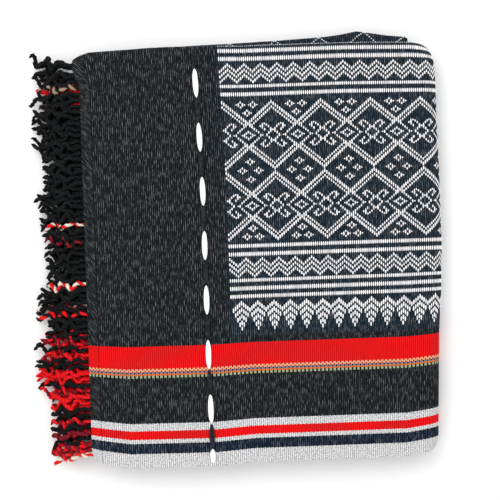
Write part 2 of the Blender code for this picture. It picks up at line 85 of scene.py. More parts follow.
leanShare = {"u": (0, 70, 220, 340), "share": (0, 1, 0.7, 0)}  # how far the ribs lean with the line

bundleHalf = fold["layerPitch"] + fold["clothThick"] / 2
stackHeight = 2 * bundleHalf + fold["topLevel"] * fold["bundlePitch"]


def read(table, key, value, at):
    # Tables are in millimetres; the answer is in metres
    return np.interp(np.asarray(at) / mm, table[key], table[value]) * mm


# Across the weft: three layers, by the distance from the first selvedge
bendTopY = fold["edgeY"] - bundleHalf
innerBend = fold["layerPitch"] / 2
bendBottomY = -fold["innerEdgeY"] + innerBend + fold["clothThick"] / 2
faceRun = bendTopY + fold["edgeY"]
backStart = faceRun + math.pi * fold["layerPitch"]
backRun = bendTopY - bendBottomY
lastStart = backStart + backRun + math.pi * innerBend
clothWidth = lastStart + fold["lastSelvedgeY"] - bendBottomY


def acrossWeft(v):
    # Place across, height in the bundle, and the way the face looks
    v = np.asarray(v, float)
    outer = (v - faceRun) / fold["layerPitch"]
    inner = (v - backStart - backRun) / innerBend
    parts = [v <= faceRun, v < backStart, v <= backStart + backRun, v < lastStart]
    ny = np.select(parts, [0 * v, np.sin(outer), 0 * v, -np.sin(inner)], 0 * v)
    nz = np.select(parts, [0 * v + 1, np.cos(outer), 0 * v - 1, -np.cos(inner)], 0 * v + 1)
    pitch = fold["layerPitch"]
    y = np.select(parts, [v - fold["edgeY"], bendTopY + pitch * ny, bendTopY - (v - backStart),
                          bendBottomY + innerBend * ny], bendBottomY + v - lastStart)
    lift = np.select(parts, [0 * v + pitch, pitch * nz, 0 * v - pitch,
                             -innerBend + innerBend * nz], 0 * v)
    return y, lift, ny, nz


# Along the warp: six bundles, by the distance from the upper end
def levelHeight(level):
    return bundleHalf + level * fold["bundlePitch"]


def warpPath():
    pieces, done = [], 0.0
    startX = fold["upperEndX"] + fold["heading"]
    for turn in turns:
        low, high = sorted((turn["level"], turn["nextLevel"]))
        radius = (high - low) * fold["bundlePitch"] / 2
        side = 1 if turn["reach"] > 0 else -1
        centreX = turn["reach"] - side * (radius + bundleHalf)
        pieces.append({"kind": "run", "start": done, "fromX": startX, "toX": centreX,
                       "length": abs(centreX - startX), "level": turn["level"]})
        done += pieces[-1]["length"]
        pieces.append({"kind": "turn", "start": done, "length": math.pi * radius, "radius": radius,
                       "centreX": centreX, "centreZ": levelHeight((low + high) / 2), "side": side,
                       "rising": 1 if turn["nextLevel"] < turn["level"] else -1})
        done += pieces[-1]["length"]
        startX = centreX
    endX = fold["lowerEndX"] + fold["heading"]
    pieces.append({"kind": "run", "start": done, "fromX": startX, "toX": endX,
                   "length": abs(endX - startX), "level": turns[-1]["nextLevel"]})
    return pieces


warp = warpPath()
clothLength = warp[-1]["start"] + warp[-1]["length"]


def alongWarp(u):
    u = np.asarray(u, float)
    x, z, faceX, faceZ, place = (np.zeros_like(u) for _ in range(5))
    for i, piece in enumerate(warp):
        here = u >= piece["start"] if i else np.isfinite(u)  # the heading lies before the first run
        past = u - piece["start"]
        if piece["kind"] == "run":
            way = 1 if piece["toX"] > piece["fromX"] else -1
            values = (piece["fromX"] + way * past, levelHeight(piece["level"]), 0.0, way, i)
        else:
            turned = past / piece["radius"]
            outX = piece["side"] * np.sin(turned)
            outZ = piece["rising"] * np.cos(turned)
            face = 1 if piece["side"] * piece["rising"] > 0 else -1
            values = (piece["centreX"] + piece["radius"] * outX,
                      piece["centreZ"] + piece["radius"] * outZ, face * outX, face * outZ, i)
        for array, value in zip((x, z, faceX, faceZ, place), values):
            array[here] = (value + 0 * u)[here]
    return x, z, faceX, faceZ, place


def settled(x, y, z):
    # From the even stack to the packet as it lies, with its uneven edges and height
    rise = read(loftAlong, "x", "rise", x) + read(loftAcross, "y", "rise", y)
    dx, dy = np.zeros_like(x), np.zeros_like(x)
    for corner in corners:
        inX = 1 - (fold["edgeX"] - corner["sideX"] * x) / corner["reachX"]
        inY = 1 - (fold["edgeY"] - corner["sideY"] * y) / corner["reachY"]
        inside = (inX > 0) & (inY > 0)
        inX, inY = np.clip(inX, 0, 1), np.clip(inY, 0, 1)
        ease = fold["cornerEase"]
        movedX = ease * inX * (np.sqrt(1 - inY * inY / 2) - 1) * corner["reachX"]
        movedY = ease * inY * (np.sqrt(1 - inX * inX / 2) - 1) * corner["reachY"]
        dx += np.where(inside, corner["sideX"] * movedX, 0)
        dy += np.where(inside, corner["sideY"] * movedY, 0)
    shareX = np.minimum(np.abs(x) / fold["edgeX"], 1)
    shareY = np.minimum(np.abs(y) / fold["edgeY"], 1)
    dx += np.where(x > 0, shareX * read(rightEdge, "y", "out", y),
                   -shareX ** fold["leftEdgePower"] * read(leftEdge, "y", "out", y))
    dy += np.where(y > 0, shareY * read(topEdge, "x", "out", x),
                   -shareY * read(bottomEdge, "x", "out", x))
    return x + dx, y + dy, z * (1 + rise / stackHeight)


# The solids' origin is the middle of their footprint; a float in the middle shows the shift
def shiftToFrame():
    low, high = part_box(middleFloat["node"])
    place = (middleFloat["x"], middleFloat["y"], stackHeight)
    x, y, _ = settled(*(np.array([value]) for value in place))
    middle = (low + high) / 2
    return middle.x - x[0], middle.y - y[0]


shiftX, shiftY = shiftToFrame()

# The ribs: how they lie along the warp and how they lean with the thick yarn
weave = {
    "ribPitch": 1.836 * mm, "ribHeight": 0.13 * mm, "stepsPerRib": 4,
    "floatPick": 54, "brocadePick": 66,
    # How unevenly the layers' edges lie over each other; each wave has a size, a rate and a start
    "edgeWander": 0.7 * mm, "edgePower": 40, "wanderMean": 0.5, "wanderShare": 0.25,
    "edgeWaves": ((1.0, 23, 0), (0.6, 61, 1), (0.4, 137, 2)),
}
floatU = middleFloat["x"] - (fold["upperEndX"] + fold["heading"])
firstTurnRadius = turns[0]["level"] * fold["bundlePitch"] / 2
outerShare = (firstTurnRadius + bundleHalf) / firstTurnRadius


def pickAt(u):
    # Counted on the outer face, where the first turn is longer than its middle
    turn = warp[1]
    inTurn = np.clip(u - turn["start"], 0, turn["length"])
    return (u + inTurn * (outerShare - 1) - floatU) / weave["ribPitch"] + weave["floatPick"]


def uAt(pick):
    turn = warp[1]
    path = (np.asarray(pick, float) - weave["floatPick"]) * weave["ribPitch"] + floatU
    inTurn = np.clip(path - turn["start"], 0, turn["length"] * outerShare)
    return path - inTurn + inTurn / outerShare


def lean(u, v):
    # The ribs follow the thick yarn, which bends to the left near the top fold
    y, _, _, _ = acrossWeft(v)
    slant = read(floatLine, "y", "x", y) - middleFloat["x"]
    return slant * np.interp(np.asarray(u) / mm, leanShare["u"], leanShare["share"])


def clothPoints(u, v, side=1.0, raised=0.0):
    # Places on the cloth: side 1 is the face and -1 the back; raised goes out from the face
    u, v = np.broadcast_arrays(np.asarray(u, float), np.asarray(v, float))
    y, lift, ny, nz = acrossWeft(v)
    out = side * fold["clothThick"] / 2 + raised
    y = y + out * ny
    lift = lift + out * nz
    x, z, faceX, faceZ, place = alongWarp(u)
    inner = (place >= 2 * innerRuns[0]) & (place <= 2 * innerRuns[-1])
    y = y + np.where(inner, read(peek, "x", "out", x), 0)
    edge = np.minimum(np.abs(y) / fold["edgeY"], 1) ** weave["edgePower"]
    wander = sum(size * np.sin(u * rate + start) for size, rate, start in weave["edgeWaves"])
    wander = weave["edgeWander"] * (weave["wanderMean"] + weave["wanderShare"] * wander)
    y = y - np.sign(y) * edge * wander
    x, y, z = settled(x + lift * faceX, y, z + lift * faceZ)
    return np.stack([x + shiftX, y + shiftY, z], axis=-1)


# Small helpers for meshes and materials
def linked(name, data):
    made = bpy.data.objects.new(name, data)
    bpy.context.scene.collection.objects.link(made)
    return made


def meshObject(name, points, faces, finish):
    mesh = bpy.data.meshes.new(name)
    mesh.from_pydata([tuple(p) for p in points], [], faces)
    mesh.materials.append(finish)
    return linked(name, mesh)


def turnOutward(piece):
    shape = bmesh.new()
    shape.from_mesh(piece.data)
    bmesh.ops.recalc_face_normals(shape, faces=shape.faces)
    shape.to_mesh(piece.data)
    shape.free()


def giveAttribute(mesh, name, kind, values):
    made = mesh.attributes.new(name, kind, "POINT")
    key = {"FLOAT": "value", "FLOAT_VECTOR": "vector", "FLOAT_COLOR": "color"}[kind]
    made.data.foreach_set(key, np.asarray(values, np.float32).ravel())


def zipRows(coarse, fine, faces):
    # Triangles between two rows of (distance, point number)
    i = j = 0
    while i + 1 < len(coarse) or j + 1 < len(fine):
        takeFine = i + 1 == len(coarse)
        if not takeFine and j + 1 < len(fine):
            takeFine = fine[j + 1][0] <= (coarse[i][0] + coarse[i + 1][0]) / 2
        if takeFine:
            faces.append((coarse[i][1], fine[j][1], fine[j + 1][1]))
            j += 1
        else:
            faces.append((coarse[i][1], fine[j][1], coarse[i + 1][1]))
            i += 1


class Wiring:
    # A short way to add nodes and join them: an input takes a value, a socket, or a node,
    # which stands for its first output
    def __init__(self, tree):
        self.tree = tree

    def node(self, kind, inputs=None, **settings):
        made = self.tree.nodes.new(kind)
        for key, value in settings.items():
            setattr(made, key, value)
        for key, value in (inputs or {}).items():
            self.put(made.inputs[key], value)
        return made

    def put(self, socket, value):
        if isinstance(value, bpy.types.Node):
            value = value.outputs[0]
        if isinstance(value, bpy.types.NodeSocket):
            self.tree.links.new(value, socket)
        else:
            socket.default_value = value

    def math(self, operation, a, b=0.0, c=0.0):
        return self.node("ShaderNodeMath", {0: a, 1: b, 2: c}, operation=operation).outputs[0]

    def times(self, a, b):
        return self.math("MULTIPLY", a, b)

    def between(self, value, low, high):
        ends = {"Value": value, "From Min": low, "From Max": high}
        return self.node("ShaderNodeMapRange", ends, interpolation_type="SMOOTHSTEP").outputs["Result"]

    def mix(self, share, a, b, blend="MIX"):
        inputs = {"Factor": share, 6: a, 7: b}
        return self.node("ShaderNodeMix", inputs, data_type="RGBA", blend_type=blend).outputs[2]

    def shaded(self, colour, share):
        return self.mix(1.0, colour, self.vector(share, share, share), "MULTIPLY")

    def noise(self, vector, scale, detail=2.0, roughness=0.5):
        inputs = {"Vector": vector, "Scale": scale, "Detail": detail, "Roughness": roughness}
        return self.node("ShaderNodeTexNoise", inputs).outputs["Fac"]

    def vector(self, x, y, z=0.0):
        return self.node("ShaderNodeCombineXYZ", {0: x, 1: y, 2: z}).outputs[0]

    def named(self, name, kind="FLOAT"):
        node = self.node("GeometryNodeInputNamedAttribute", {"Name": name}, data_type=kind)
        return node.outputs["Attribute"]


finishes = {"specular": 0.1, "sheenRoughness": 0.5}


def newMaterial(name, roughness, sheen=0.0):
    made = bpy.data.materials.new(name)
    made.use_nodes = True
    shader = made.node_tree.nodes["Principled BSDF"]
    values = {"Roughness": roughness, "Specular IOR Level": finishes["specular"],
              "Sheen Weight": sheen, "Sheen Roughness": finishes["sheenRoughness"]}
    for key, value in values.items():
        shader.inputs[key].default_value = value
    return made, Wiring(made.node_tree), shader


def bumped(wire, height, strength, distance, shader):
    inputs = {"Strength": strength, "Distance": distance, "Height": height}
    wire.put(shader.inputs["Normal"], wire.node("ShaderNodeBump", inputs))


# Warp-faced ribs: crests over the picks, warp ends across them, and an uneven painted highlight on the
# crests, partly lighter fibres
ribLook = {
    "wobbleAlong": 0.13, "wobbleScale": 0.6, "wobble": 0.5,  # how far a rib strays, in picks
    "roughAlong": 1.7, "roughAcross": 0.15, "roughDetail": 3.0, "roughness": 0.6,
    "highlightFrom": 0.44, "highlightTo": 0.70, "crestPower": 2.5, "threadHeight": 0.35,
}


def ribbedWeaveGroup():
    tree = bpy.data.node_groups.new("ribbedWeave", "ShaderNodeTree")
    face = tree.interface
    for name in ("Pick", "Weft", "End Pitch", "Unevenness"):
        face.new_socket(name=name, in_out="INPUT", socket_type="NodeSocketFloat")
    for name in ("Crest", "Thread", "CrestHighlight", "Height"):
        face.new_socket(name=name, in_out="OUTPUT", socket_type="NodeSocketFloat")
    wire = Wiring(tree)
    given = wire.node("NodeGroupInput")
    result = wire.node("NodeGroupOutput")
    pick, weft = given.outputs["Pick"], given.outputs["Weft"]
    ends = wire.math("DIVIDE", weft, given.outputs["End Pitch"])
    wobble = wire.noise(wire.vector(wire.times(pick, ribLook["wobbleAlong"]), ends), ribLook["wobbleScale"])
    wobble = wire.math("MULTIPLY_ADD", wobble, ribLook["wobble"], -ribLook["wobble"] / 2)
    crest = wire.math("COSINE", wire.times(wire.math("ADD", pick, wobble), tau))
    crest = wire.math("MULTIPLY_ADD", crest, 0.5, 0.5)
    stagger = wire.times(wire.math("ROUND", pick), math.pi)
    thread = wire.math("COSINE", wire.math("MULTIPLY_ADD", ends, tau, stagger))
    thread = wire.math("MULTIPLY_ADD", thread, 0.5, 0.5)
    place = wire.vector(wire.times(pick, ribLook["roughAlong"]), wire.times(ends, ribLook["roughAcross"]))
    rough = wire.noise(place, 1.0, ribLook["roughDetail"], ribLook["roughness"])
    # Painted highlight: a light line along each rib crest, broken up by noise; partly lighter fibres
    crestHighlight = wire.between(rough, ribLook["highlightFrom"], ribLook["highlightTo"])
    crestHighlight = wire.times(crestHighlight, wire.math("POWER", crest, ribLook["crestPower"]))
    height = wire.math("MULTIPLY_ADD", thread, ribLook["threadHeight"], crest)
    height = wire.math("ADD", height, wire.times(rough, given.outputs["Unevenness"]))
    for name, value in (("Crest", crest), ("Thread", thread), ("CrestHighlight", crestHighlight), ("Height", height)):
        wire.put(result.inputs[name], value)
    return tree


ribbedWeave = ribbedWeaveGroup()
print("fold and weave ready")

# The border, from the selvedge inwards in millimetres; the second selvedge mirrors the first
border = {
    "black": (0.0085, 0.0110, 0.0130), "blueBlack": (0.0085, 0.0200, 0.0320),
    "grey": (0.55, 0.55, 0.57), "darkGrey": (0.16, 0.165, 0.18), "red": (0.93, 0.006, 0.008),
    "navy": (0.004, 0.014, 0.032), "cream": (0.85, 0.68, 0.38), "orange": (0.85, 0.18, 0.03),
    # The light grey on the next line is the painted highlight on the rib crests, partly lighter fibres
    "green": (0.50, 0.62, 0.36), "blue": (0.20, 0.32, 0.48), "crestHighlight": (0.36, 0.38, 0.40),
    "lightGrey": (0.95, 0.95, 0.96), "rampSpan": 130.0,
    "endPitch": 0.9 * mm, "unevenness": 0.5, "toothStep": 0.22 * mm, "toothSoftness": 0.12,
    "fleckAlong": 0.9, "fleckAcross": 1.1 * mm, "fleckThread": 0.30, "fleckFrom": 0.42, "fleckTo": 0.66,
    "blueFrom": 112 * mm, "blueTo": 116 * mm, "blueBefore": 4, "blueAfter": 2,
    "valleyShade": 0.45, "highlightOnBlack": 0.50, "highlightOnColour": 0.04, "blackBelow": 0.03,
    "colourAbove": 0.10, "bump": 0.6, "bumpHeight": 0.35 * mm, "roughness": 0.85,
}


def stripe(to, colour, between=None, heather=False):
    return {"to": to, "colour": colour, "between": between or colour, "heather": heather}


stripes = (
    stripe(12.6, "grey", heather=True), stripe(21.6, "navy"), stripe(25.2, "grey", heather=True),
    stripe(32.8, "red"), stripe(39.3, "grey", heather=True), stripe(80.2, "black"),
    stripe(81.9, "green", "black"), stripe(83.7, "orange"), stripe(85.2, "blue", "navy"),
    stripe(86.8, "red", "cream"), stripe(88.2, "cream", "red"), stripe(108.0, "red"),
    stripe(130.0, "black"),
)


def stripeRamp(wire, which, place):
    ramp = wire.node("ShaderNodeValToRGB")
    ramp.color_ramp.interpolation = "CONSTANT"
    starts = [0.0] + [row["to"] / border["rampSpan"] for row in stripes[:-1]]
    while len(ramp.color_ramp.elements) < len(starts):
        ramp.color_ramp.elements.new(1.0)
    for element, start, row in zip(ramp.color_ramp.elements, starts, stripes):
        element.position = start
        element.color = (*border[row[which]], 0.0 if row["heather"] else 1.0)
    wire.put(ramp.inputs["Fac"], place)
    return ramp.outputs["Color"], ramp.outputs["Alpha"]


def stripedMaterial(name, slant):
    made, wire, shader = newMaterial(name, border["roughness"])
    source = wire.node("ShaderNodeAttribute", attribute_name="weave")
    parts = wire.node("ShaderNodeSeparateXYZ", {0: source.outputs["Vector"]})
    pick, weft = parts.outputs["X"], parts.outputs["Y"]
    inputs = {"Pick": wire.math("MULTIPLY_ADD", weft, slant, pick), "Weft": weft,
              "End Pitch": border["endPitch"], "Unevenness": border["unevenness"]}
    ribs = wire.node("ShaderNodeGroup", inputs, node_tree=ribbedWeave)
    # The stripes' edges step in and out with the ribs
    tooth = wire.math("SINE", wire.times(pick, math.pi))
    nearer = wire.math("MINIMUM", weft, wire.math("SUBTRACT", clothWidth, weft))
    place = wire.math("MULTIPLY_ADD", tooth, border["toothStep"], nearer)
    place = wire.math("DIVIDE", place, border["rampSpan"] * mm)
    colour, plain = stripeRamp(wire, "colour", place)
    between, _ = stripeRamp(wire, "between", place)
    other = wire.between(tooth, -border["toothSoftness"], border["toothSoftness"])
    colour = wire.mix(other, between, colour)
    # Heather: light and dark ends staggered from rib to rib
    across = wire.math("DIVIDE", weft, border["fleckAcross"])
    fleck = wire.vector(wire.times(pick, border["fleckAlong"]), across)
    fleck = wire.noise(fleck, 1.0, 2.0, ribLook["roughness"])
    fleck = wire.math("ADD", wire.times(ribs.outputs["Thread"], border["fleckThread"]), fleck)
    fleck = wire.between(fleck, border["fleckFrom"], border["fleckTo"])
    heather = wire.mix(fleck, (*border["darkGrey"], 1), (*border["lightGrey"], 1))
    colour = wire.mix(plain, heather, colour)
    # The brocaded half is a bluer black than the plain one
    blue = wire.between(pick, weave["brocadePick"] - border["blueBefore"],
                     weave["brocadePick"] + border["blueAfter"])
    blue = wire.times(blue, wire.between(nearer, border["blueFrom"], border["blueTo"]))
    colour = wire.mix(blue, colour, (*border["blueBlack"], 1))
    shade = border["valleyShade"]
    colour = wire.shaded(colour, wire.math("MULTIPLY_ADD", ribs.outputs["Crest"], 1 - shade, shade))
    # The painted highlight on the rib crests, partly lighter fibres, shows on the black far more than on
    # the colours
    light = wire.node("ShaderNodeRGBToBW", {"Color": colour})
    dark = wire.between(light, border["colourAbove"], border["blackBelow"])
    share = wire.math("MULTIPLY_ADD", dark, border["highlightOnBlack"] - border["highlightOnColour"],
                   border["highlightOnColour"])
    colour = wire.mix(wire.times(ribs.outputs["CrestHighlight"], share), colour, (*border["crestHighlight"], 1))
    wire.put(shader.inputs["Base Color"], colour)
    bumped(wire, ribs.outputs["Height"], border["bump"], border["bumpHeight"], shader)
    return made


# The cloth: one closed thin sheet, its top and first turn finely ribbed
clothSizes = {
    "topStep": 6.2 * mm, "bendSteps": 8, "innerBendSteps": 6, "hiddenStep": 48 * mm,
    "runStep": 14 * mm, "turnSteps": 14, "endMargin": 0.2, "ribsFadeIn": 2 * mm, "ribsFadeOut": 4 * mm,
    "sharpAngle": math.radians(60),
}


def weftRow(topStep, hiddenStep):
    # Places across the weft, closer in the bends
    backEnd = backStart + backRun
    stretches = (
        (0, faceRun, round(faceRun / topStep)), (faceRun, backStart, clothSizes["bendSteps"]),
        (backStart, backEnd, round(backRun / hiddenStep)),
        (backEnd, lastStart, clothSizes["innerBendSteps"]),
    )
    places = [np.linspace(low, high, steps + 1)[:-1] for low, high, steps in stretches]
    places.append(np.linspace(lastStart, clothWidth, round(backRun / hiddenStep) + 1))
    return np.concatenate(places)


def warpRow(fine):
    places = []
    for i, piece in enumerate(warp):
        if fine and i < 2:
            continue
        steps = clothSizes["turnSteps"] if piece["kind"] == "turn" else round(
            piece["length"] / clothSizes["runStep"])
        ends = np.linspace(piece["start"], piece["start"] + piece["length"], steps + 1)
        places.append(ends[1:] if places or fine else ends)
    if fine:
        last = warp[2]["start"]
        first = math.ceil(pickAt(0.0) * weave["stepsPerRib"] + clothSizes["endMargin"])
        final = math.floor(pickAt(last) * weave["stepsPerRib"] - clothSizes["endMargin"])
        ribs = uAt(np.arange(first, final + 1) / weave["stepsPerRib"])
        places.insert(0, np.concatenate([[0.0], ribs, [last]]))
    return np.concatenate(places)


def closedSheet(name, grids, finish):
    # A thin sheet from the grids of its face and its back, zipped together round its edge
    points, faces, marks, rows = [], [], [], []
    done = 0
    for side, grid in zip((1, -1), grids):
        u, v = grid["u"], grid["v"]
        points.append(grid["points"].reshape(-1, 3))
        gridV = np.broadcast_to(v, grid["pick"].shape)
        marks.append(np.stack([grid["pick"], gridV, 0 * gridV], -1).reshape(-1, 3))
        number = done + np.arange(len(u) * len(v)).reshape(len(u), len(v))
        a, b, c, d = number[:-1, :-1], number[1:, :-1], number[1:, 1:], number[:-1, 1:]
        faces += np.stack([a, b, c, d], -1).reshape(-1, 4)[:, ::side].tolist()
        rows.append((u, v, number))
        done += number.size
    (faceU, faceV, face), (backU, backV, back) = rows
    for end in (0, -1):
        zipRows(list(zip(backV, back[end])), list(zip(faceV, face[end])), faces)
        zipRows(list(zip(backU, back[:, end])), list(zip(faceU, face[:, end])), faces)
    faces = [tuple(int(i) for i in f) for f in faces]
    made = meshObject(name, np.concatenate(points), faces, finish)
    giveAttribute(made.data, "weave", "FLOAT_VECTOR", np.concatenate(marks))
    turnOutward(made)
    made.data.shade_smooth()
    made.data.set_sharp_from_angle(angle=clothSizes["sharpAngle"])
    return made


def buildCloth(finish):
    grids = []
    last = warp[2]["start"]
    for side, step in ((1, clothSizes["topStep"]), (-1, clothSizes["hiddenStep"])):
        fine = side == 1
        u, v = warpRow(fine), weftRow(step, clothSizes["hiddenStep"])
        gridU, gridV = np.meshgrid(u, v, indexing="ij")
        pick = pickAt(gridU)
        leant = gridU + (lean(gridU, gridV) if fine else 0)
        ends = (0, clothSizes["ribsFadeIn"], last - clothSizes["ribsFadeOut"], last)
        ribbed = np.interp(gridU, ends, (0, 1, 1, 0))
        raised = weave["ribHeight"] * np.cos(tau * pick) * ribbed if fine else 0.0
        grids.append({"u": u, "v": v, "pick": pick, "points": clothPoints(leant, gridV, side, raised)})
    return closedSheet("cloth_sheet", grids, finish)


clothPiece = buildCloth(stripedMaterial("ribbedCloth", 0.0))
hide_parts("cloth")
print("cloth", len(clothPiece.data.polygons))

# Brocade: white floats over one pick each, charted in picks and in units of the float's step
brocade = {
    "unit": 1.586 * mm, "width": 1.42 * mm, "height": 0.75 * mm, "sink": 0.12 * mm,
    "widthSpread": 0.18, "seed": 7, "segments": 6, "rings": 5, "lookUp": 1 * mm, "lookAlong": 0.4 * mm,
    "leafTip": 118.8 * mm, "firstLeaf": 5, "leafStep": 8, "diamondFoot": 198.8 * mm,
    "bands": ((147.6, 151.5), (154.5, 158.8), (162.1, 165.7), (185.3, 189.5), (192.8, 196.7),
              (329.1, 333.2), (336.6, 340.0), (360.7, 365.3), (368.2, 372.5), (374.6, 375.7)),
    "pickCount": 136,
}
zigzag = {"ways": ((175.2 * mm, 1), (350.0 * mm, -1)), "step": 8, "lines": (-2.9, 0, 2.9), "half": 0.95}
diamonds = {
    "column": 24, "row": 40, "thick": (0, 2.4), "thin": (3.2, 4.8), "thinEnds": 10,
    "crossFlowers": ((0, 5), (0, -5), (4, 0), (-4, 0)),  # across and up from where four diamonds meet
    "edgeFlowers": ((-3, 2.6), (3, 2.6), (0, 7.3)),
}
dottedPeaks = {
    "peaks": ((-24.0, 3), (17.0, 4), (57.0, 6), (98.0, 8), (134.0, 5)),
    "apex": 0.6 * mm, "drop": 1.35 * mm, "length": 1.2 * mm,
}
# A chart has a row for each pick from its middle outwards, with the floats there in units
leafChart = (
    ((0, 2.6), (3.0, 6.0), (6.7, 9.7), (10.4, 13.4), (14.1, 17.1)),
    ((2.0, 5.0), (5.7, 8.7), (9.4, 12.4), (13.1, 16.1)),
    ((4.7, 7.7), (8.4, 11.4), (12.1, 15.1)),
    ((7.4, 10.4), (11.1, 14.1)),
    ((10.1, 13.1),),
)
crossChart = (  # the four hooked arms: half across, half up
    ((2.4, 3.6),),
    ((1.4, 4.6),),
    ((0.5, 2.3), (4.2, 5.7)),
    ((-1.0, 1.0), (5.2, 6.6)),
    ((2.4, 4.1), (6.0, 7.1)),
    ((3.4, 7.1),),
    ((4.5, 5.7),),
)
flowerChart = (((0.7, 2.1),), ((-1.25, 1.25),), ((-0.45, 0.45),))
smallDiamondChart = (  # between two large diamonds: its sides, and the flower in its middle
    ((1.2, 2.8),),
    ((0.4, 1.9), (4.5, 7.0)),
    ((-1.1, 1.1), (3.8, 5.4)),
    ((-0.45, 0.45), (2.8, 4.4)),
    ((1.8, 3.4),),
    ((0.9, 2.4),),
    ((-1.0, 1.0),),
    ((-0.4, 0.4),),
)


def stamp(chart, pick, middle, mirrored=True):
    # Every float of a chart about one pick and one height, both ways
    found = []
    for away, row in enumerate(chart):
        for way in {away, -away}:
            for low, high in row:
                found.append((pick + way, middle + low, middle + high))
                if mirrored and low > 0:
                    found.append((pick + way, middle - high, middle - low))
    return found


def diamondFloats(last):
    # Two rows of large diamonds with double sides; the thick line is outside, the thin one inside
    column, row = diamonds["column"], diamonds["row"]
    found = []
    for pick in range(last):
        away = min(pick % column, -pick % column)
        lines = [diamonds["thick"]] + [diamonds["thin"]] * (away <= diamonds["thinEnds"])
        for foot in (0, row):
            for way, start in ((1, foot), (-1, foot + row)):
                for line in lines:
                    found.append((pick, *sorted(start + way * (away + end) for end in line)))
    for pick in range(0, last + column // 2, column):
        between = pick + column // 2
        for foot in (0, row):
            found += stamp(crossChart, pick, foot + row / 2)
            found += stamp(smallDiamondChart, between, foot + row / 2)
        for across, up in diamonds["crossFlowers"]:
            found += stamp(flowerChart, between + across, row + up)
        for across, up in diamonds["edgeFlowers"]:
            found += stamp(flowerChart, between + across, up)
            found += stamp(flowerChart, between + across, 2 * row - up)
    return [place for place in found if 0 <= place[0] < last]


def brocadeFloats():
    # All floats as (pick, lower end, upper end) with the ends in metres across the weft
    last, unit = brocade["pickCount"], brocade["unit"]
    found = []
    for pick in range(last):
        for low, high in brocade["bands"]:
            found.append((pick, low * mm, high * mm))
        for middle, way in zigzag["ways"]:
            step = abs(pick % zigzag["step"] - zigzag["step"] // 2) - zigzag["step"] // 4
            for line in zigzag["lines"]:
                at = middle + way * (step * unit) + line * unit
                found.append((pick, at - zigzag["half"] * unit, at + zigzag["half"] * unit))
    for pick in range(brocade["firstLeaf"], last, brocade["leafStep"]):
        leaf = stamp(leafChart, pick, 0, mirrored=False)
        found += [(p, brocade["leafTip"] + low * unit, brocade["leafTip"] + high * unit)
                  for p, low, high in leaf if 0 < p < last]
    found += [(p, brocade["diamondFoot"] + low * unit, brocade["diamondFoot"] + high * unit)
              for p, low, high in diamondFloats(last)]
    return sorted(set(found))


def floatPointsObject(name, floats, u):
    # A point for each float, with its length, the way it runs and the way it stands
    low = np.array([f[1] for f in floats])
    high = np.array([f[2] for f in floats])
    middle = (low + high) / 2
    at = clothPoints(u, middle, 1, weave["ribHeight"] - brocade["sink"])
    above = clothPoints(u, middle, 1, brocade["lookUp"])
    mesh = bpy.data.meshes.new(name)
    mesh.from_pydata([tuple(p) for p in at], [], [])
    giveAttribute(mesh, "floatLength", "FLOAT", high - low)
    giveAttribute(mesh, "standing", "FLOAT_VECTOR", above - at)
    ahead, behind = (clothPoints(u, middle + way * brocade["lookAlong"]) for way in (1, -1))
    giveAttribute(mesh, "running", "FLOAT_VECTOR", ahead - behind)
    return linked(name, mesh)


def newGeometryTree(name, inputs):
    tree = bpy.data.node_groups.new(name, "GeometryNodeTree")
    tree.interface.new_socket(name="Geometry", in_out="INPUT", socket_type="NodeSocketGeometry")
    sockets = {}
    for title, kind, value in inputs:
        socket = tree.interface.new_socket(name=title, in_out="INPUT", socket_type=kind)
        if value is not None:
            socket.default_value = value
        sockets[title] = socket.identifier
    tree.interface.new_socket(name="Geometry", in_out="OUTPUT", socket_type="NodeSocketGeometry")
    return tree, Wiring(tree), sockets


def finishTree(wire, given, result, geometry):
    real = wire.node("GeometryNodeRealizeInstances", {"Geometry": geometry})
    inputs = {"Geometry": real, "Material": given.outputs["Yarn"]}
    wire.put(result.inputs["Geometry"], wire.node("GeometryNodeSetMaterial", inputs))


def yarnFloatTree():
    tree, wire, sockets = newGeometryTree("yarnFloats", (
        ("Yarn Width", "NodeSocketFloat", brocade["width"]),
        ("Yarn Height", "NodeSocketFloat", brocade["height"]),
        ("Width Spread", "NodeSocketFloat", brocade["widthSpread"]),
        ("Seed", "NodeSocketInt", brocade["seed"]),
        ("Yarn", "NodeSocketMaterial", None),
    ))
    given, result = wire.node("NodeGroupInput"), wire.node("NodeGroupOutput")
    pad = wire.node("GeometryNodeMeshUVSphere", {
        "Segments": brocade["segments"], "Rings": brocade["rings"], "Radius": 0.5})
    turned = wire.node("GeometryNodeTransform", {"Geometry": pad, "Rotation": (math.pi / 2, 0, 0)})
    axes = wire.node("FunctionNodeAxesToRotation", {
        "Primary Axis": wire.named("standing", "FLOAT_VECTOR"),
        "Secondary Axis": wire.named("running", "FLOAT_VECTOR")}, primary_axis="Z", secondary_axis="Y")
    spread = wire.node("FunctionNodeRandomValue", data_type="FLOAT")
    low, high = [s for s in spread.inputs if s.type == "VALUE"][:2]
    wire.put(low, wire.math("SUBTRACT", 1.0, given.outputs["Width Spread"]))
    wire.put(high, wire.math("ADD", 1.0, given.outputs["Width Spread"]))
    wire.put(spread.inputs["Seed"], given.outputs["Seed"])
    chosen = [s for s in spread.outputs if s.type == "VALUE"][0]
    width = wire.times(given.outputs["Yarn Width"], chosen)
    placed = wire.node("GeometryNodeInstanceOnPoints", {
        "Points": given, "Instance": turned, "Rotation": axes,
        "Scale": wire.vector(width, wire.named("floatLength"), given.outputs["Yarn Height"])})
    finishTree(wire, given, result, placed)
    return tree, sockets


def grown(name, source, tree, values):
    # The evaluated result of a node tree as a plain mesh at the origin
    modifier = source.modifiers.new("grow", "NODES")
    modifier.node_group = tree
    for identifier, value in values.items():
        modifier[identifier] = value
    graph = bpy.context.evaluated_depsgraph_get()
    mesh = bpy.data.meshes.new_from_object(source.evaluated_get(graph))
    mesh.name = name
    bpy.data.objects.remove(source)
    made = linked(name, mesh)
    made.data.shade_smooth()
    return made


